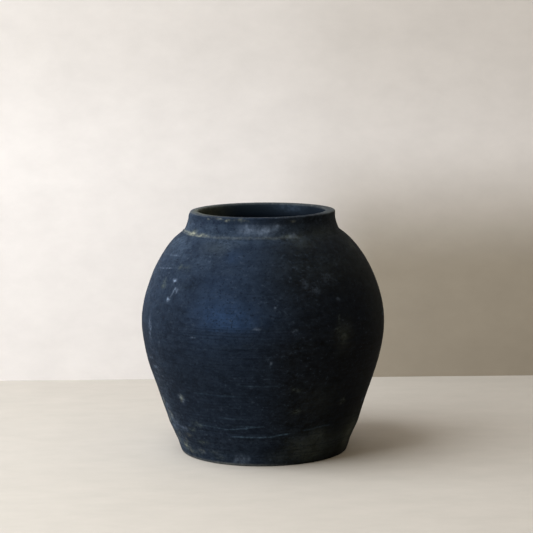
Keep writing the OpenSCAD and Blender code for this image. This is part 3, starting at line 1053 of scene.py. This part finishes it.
def smoked_clay(name, layers):
    """Matte blue-black clay: soot, wiped skin, smoke, dust and marks, with painted light and shade, one
    layer over the other.
    """
    material, tree, shader, where = new_material(name)
    patterns = {}
    for pattern, (across, up, detail, roughness) in PATTERNS.items():
        size = (1 / (across * MM), 1 / (across * MM), 1 / (up * MM))
        stretched = add(tree, "VectorMath", {0: where, 1: size}, operation="MULTIPLY")
        grain = {"Vector": stretched, "Scale": 1.0, "Detail": detail, "Roughness": roughness}
        patterns[pattern] = add(tree, "TexNoise", grain, "Fac")
    colour = linear(SOOT)
    shown = {}
    for tint, mark, pattern, *ends in layers:
        painted = add(tree, "Attribute", {}, "Fac", attribute_name=mark)
        reach = dict(zip(RANGE, ends))
        grain = add(tree, "MapRange", {"Value": patterns[pattern], **reach})
        shown[mark] = add(tree, "Math", {0: painted, 1: grain}, operation="MULTIPLY", use_clamp=True)
        mixed = {"Factor": shown[mark], "A": colour, "B": linear(tint)}
        colour = add(tree, "Mix", mixed, "Result", data_type="RGBA")
    dry = add(tree, "Math", {0: shown["chalk"], 1: shown["earth"]}, operation="MAXIMUM")
    rough = add(tree, "MapRange", {"Value": dry, "To Min": MATTE, "To Max": DRY})
    relief = add(tree, "Math", {0: patterns["wiping"], 1: patterns["grains"]}, operation="ADD")
    bump = add(tree, "Bump", {"Strength": RELIEF, "Distance": RELIEF_HEIGHT * MM, "Height": relief})
    tree.links.new(colour, shader.inputs["Base Color"])
    tree.links.new(rough, shader.inputs["Roughness"])
    tree.links.new(bump, shader.inputs["Normal"])
    shader.inputs["IOR"].default_value = CLAY_IOR
    shader.inputs["Specular IOR Level"].default_value = CLAY_GLOSS
    shader.inputs["Specular Tint"].default_value = linear(GLOSS_TINT)
    return material


black_clay = smoked_clay("smoke-fired black clay", LAYERS)
dried_slip = smoked_clay("dried clay slip", (*LAYERS, THICK_SLIP))
print(f"{len(black_clay.node_tree.nodes)} nodes in the clay, {len(dried_slip.node_tree.nodes)} in the slip")

# %% [markdown]
# ## Dressing the members
# The frame's own meshes could stay and only get the material, but they are too coarse for grooves.
# So every member gets its finer mesh, which stands for it and rides on the jar's one body.
# The slip in the joints is the same clay, thinned with water, so it has the same layers and one more:
# a thick pale skin, which shows only where slip stands proud at the neck. Elsewhere it was rubbed flush.

# %% Make all members
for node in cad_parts:
    skin, places = turned(node)
    paint(skin, places)
    is_slip = node.endswith("slip_seam")
    skin.data.materials.append(dried_slip if is_slip else black_clay)
    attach(skin, "root")
    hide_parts(node)
    print(f"{skin.name}: {len(skin.data.polygons)} faces")

# %% [markdown]
# ## A floor and a backdrop
# A plain pale floor carries the jar, and a pale studio backdrop stands a forearm's length behind it. Both
# throw light back at the jar. A curved sweep would hide the line where they meet, so they are two flat
# sheets. Their finish is limewash: chalk brushed on wet, which the eye sees as a soft, pale surface without
# gloss, very faintly clouded by the brush. The backdrop carries painted shade, darker low on the right and
# a little at the top, so that the jar's shaded side gets little light back. It lets through whatever meets
# its back, so that the jar can also be looked at from behind.

# %% Limewash
FLOOR_PALE, BACKDROP_PALE, BACKDROP_SHADE = "#B3ADA5", "#E3DFDE", "#9A9183"
BRUSH_MARK = (62, 33, 38)  # mm across, from front to back, up
BRUSH_CLOUDS = (0.3, 0.7, 0.94, 1.02)  # the noise's thin and thick values, and the brightness at each
LIME_ROUGHNESS = 0.85
# Metres where the painted shade begins and is full, and its cover at each
SHADE_ACROSS = (-0.02, 0.16, 0.0, 1.0)
SHADE_UP = (0.34, 0.14, 0.1, 1.0)
SHADE_ABOVE = (0.26, 0.52, 0.0, 0.3)


def limewash(name, pale, deep):
    """Matt brushed paint without gloss, pale at the left, with painted shade low on the right and a little
    at the top.
    """
    material, tree, shader, where = new_material(name)
    axes = add(tree, "SeparateXYZ", {"Vector": where}).node.outputs
    slopes = []
    for axis, ends in (("X", SHADE_ACROSS), ("Z", SHADE_UP), ("Z", SHADE_ABOVE)):
        ramp = dict(zip(RANGE, ends))
        slopes.append(add(tree, "MapRange", {"Value": axes[axis], **ramp}, interpolation_type="SMOOTHSTEP"))
    shade = add(tree, "Math", dict(enumerate(slopes)), operation="MULTIPLY_ADD", use_clamp=True)
    # Painted shade: the pale paint turns to the darker colour low on the right and a little at the top.
    paint_mix = {"Factor": shade, "A": linear(pale), "B": linear(deep)}
    colour = add(tree, "Mix", paint_mix, "Result", data_type="RGBA")
    brushed = tuple(1 / (size * MM) for size in BRUSH_MARK)
    marks = add(tree, "VectorMath", {0: where, 1: brushed}, operation="MULTIPLY")
    grain = {"Vector": marks, "Scale": 1.0, "Detail": 7.0, "Roughness": 0.65}
    patchy = add(tree, "TexNoise", grain, "Fac")
    uneven = add(tree, "MapRange", {"Value": patchy, **dict(zip(RANGE, BRUSH_CLOUDS))})
    tinted = add(tree, "VectorMath", {0: colour, "Scale": uneven}, operation="SCALE")
    tree.links.new(tinted, shader.inputs["Base Color"])
    shader.inputs["Roughness"].default_value = LIME_ROUGHNESS
    return material


# The floor stays one even colour; the backdrop carries the painted shade.
floor_paint = limewash("limewashed floor", FLOOR_PALE, FLOOR_PALE)
backdrop_paint = limewash("limewashed backdrop", BACKDROP_PALE, BACKDROP_SHADE)
print(f"brush marks {BRUSH_MARK[0]} mm long and {BRUSH_MARK[2]} mm high")

# %% The floor and the backdrop
FLOOR_HALF = 5.0
FLOOR_GAP = 0.1
BACKDROP_BEHIND = 0.41
BACKDROP_HIGH = 3.0


def plane(name, corners, material):
    """A flat staged sheet with these corners."""
    mesh = bpy.data.meshes.new(name)
    mesh.from_pydata(corners, [], [range(len(corners))])
    mesh.materials.append(material)
    into_scene(name, mesh)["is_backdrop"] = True


backdrop_tree = backdrop_paint.node_tree
behind = add(backdrop_tree, "NewGeometry", {}, "Backfacing")
clear = add(backdrop_tree, "BsdfTransparent", {})
front = backdrop_tree.nodes["Principled BSDF"].outputs[0]
one_sided = add(backdrop_tree, "MixShader", {0: behind, 1: front, 2: clear})
backdrop_tree.links.new(one_sided, backdrop_tree.nodes["Material Output"].inputs["Surface"])
far, under = FLOOR_HALF, -FLOOR_GAP * MM
floor = ((-far, -far, under), (far, -far, under), (far, far, under), (-far, far, under))
plane("floor", floor, floor_paint)
foot_line = ((-far, BACKDROP_BEHIND, under), (far, BACKDROP_BEHIND, under))
top_line = ((far, BACKDROP_BEHIND, BACKDROP_HIGH), (-far, BACKDROP_BEHIND, BACKDROP_HIGH))
plane("backdrop", foot_line + top_line, backdrop_paint)
print("the backdrop stands", BACKDROP_BEHIND, "m behind the jar's axis")

# %% [markdown]
# ## Light
# A sun lamp would draw hard shadows, and an even surround alone would flatten the jar. So one large
# softbox, an area light high on the left, does nearly everything: it grazes the wiping lines, whitens the
# backdrop and leaves the right side of the jar in shade. A dim, warm surround keeps that shade readable.

# %% The softbox and the surround
SOFTBOX_PLACE, SOFTBOX_TARGET = (-1.22, -0.40, 1.42), (0.0, 0.0, 0.12)
SOFTBOX_SIZE, SOFTBOX_POWER = (2.2, 2.4), 85.0
SURROUND_STRENGTH = 0.54
DAYLIGHT, WARM = "#F3F9FF", "#F4E4C8"


def area_light(name, place, target, size, power):
    """A soft rectangular light at a place, turned to face a target."""
    lamp = bpy.data.lights.new(name, "AREA")
    lamp.shape = "RECTANGLE"
    lamp.size, lamp.size_y = size
    lamp.energy = power
    lamp.color = linear(DAYLIGHT)[:3]
    holder = into_scene(name, lamp)
    away = Vector(place) - Vector(target)
    holder.matrix_world = away.to_track_quat("Z", "Y").to_matrix().to_4x4()
    holder.location = place


area_light("softbox", SOFTBOX_PLACE, SOFTBOX_TARGET, SOFTBOX_SIZE, SOFTBOX_POWER)
surround = bpy.data.worlds.new("surround")
surround.use_nodes = True
sky = surround.node_tree.nodes["Background"]
sky.inputs["Color"].default_value = linear(WARM)
sky.inputs["Strength"].default_value = SURROUND_STRENGTH
bpy.context.scene.world = surround
bpy.context.scene.view_settings.view_transform = "Standard"
print("one softbox of", SOFTBOX_POWER, "W and a surround")

# %% [markdown]
# ## The camera
# A camera could be turned by eye until the picture looks right, but the jar's own ellipses give it away:
# the mouth's is flat, so the lens is long and only a little above the lip. Matching the outline's points
# gave the distance, height, tilt and roll below.

# %% Set the camera
PICTURE = 533
FOCAL_PIXELS = 1929.2
CAMERA_PLACE = (0.0, -2.2011, 0.5195)
PITCH_DOWN, PAN_RIGHT, ROLL = 7.945, 0.122, 0.559

lens = bpy.data.cameras.new("lens")
lens.sensor_width = 36.0
lens.lens = FOCAL_PIXELS / PICTURE * lens.sensor_width
camera = into_scene("camera", lens)
pan = Matrix.Rotation(math.radians(-PAN_RIGHT), 4, "Z")
tilt = Matrix.Rotation(math.radians(90 - PITCH_DOWN), 4, "X")
roll = Matrix.Rotation(math.radians(-ROLL), 4, "Z")
camera.matrix_world = Matrix.Translation(CAMERA_PLACE) @ pan @ tilt @ roll
bpy.context.scene.camera = camera
print(f"{lens.lens:.1f} mm lens, {abs(CAMERA_PLACE[1]):.2f} m away")

# %% [markdown]
# ## The two boxes
# The finer meshes must not make the jar larger than its frame, so both boxes are printed side by side.

# %% Print both boxes and finish
visual_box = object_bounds()
boxes = {"cad": cad_box, "visual": visual_box}
{name: [list(corner) for corner in box] for name, box in boxes.items()}
print("frame", [round(v, 4) for v in (*cad_box[0], *cad_box[1])])
print("skin ", [round(v, 4) for v in (*visual_box[0], *visual_box[1])])
